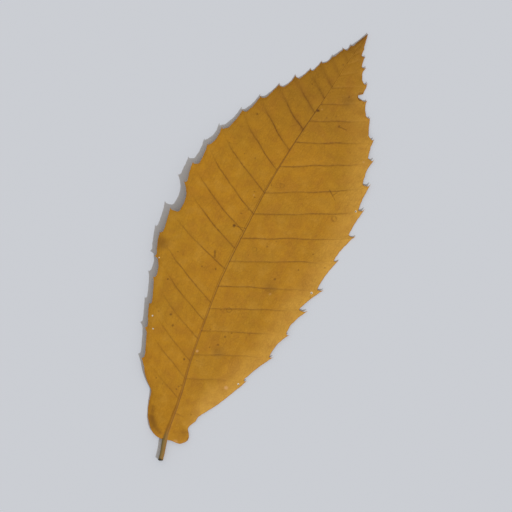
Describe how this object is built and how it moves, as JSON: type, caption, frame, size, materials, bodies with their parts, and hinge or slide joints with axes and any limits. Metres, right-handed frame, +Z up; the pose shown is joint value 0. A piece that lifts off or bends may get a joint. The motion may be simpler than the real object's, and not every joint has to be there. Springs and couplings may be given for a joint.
{
  "type": "sweet chestnut leaf",
  "caption": "Fallen dry sweet chestnut leaf: long toothed blade with bristle-tipped teeth, raised midrib and side veins below, and a short stem.",
  "frame": {"origin": "under the middle of the leaf's box, on the surface it lies on", "axes": "+Y from the cut end of the stem to the leaf's tip, +Z up out of the upper face, +X to the right seen from above"},
  "size_m": [0.068, 0.1802, 0.0039],
  "materials": {
    "leaf": "dry ochre-brown leaf, dull with a faint sheen, dark thin veins"
  },
  "bodies": {
    "root": {"leaf": "leaf"}
  },
  "joints": []
}
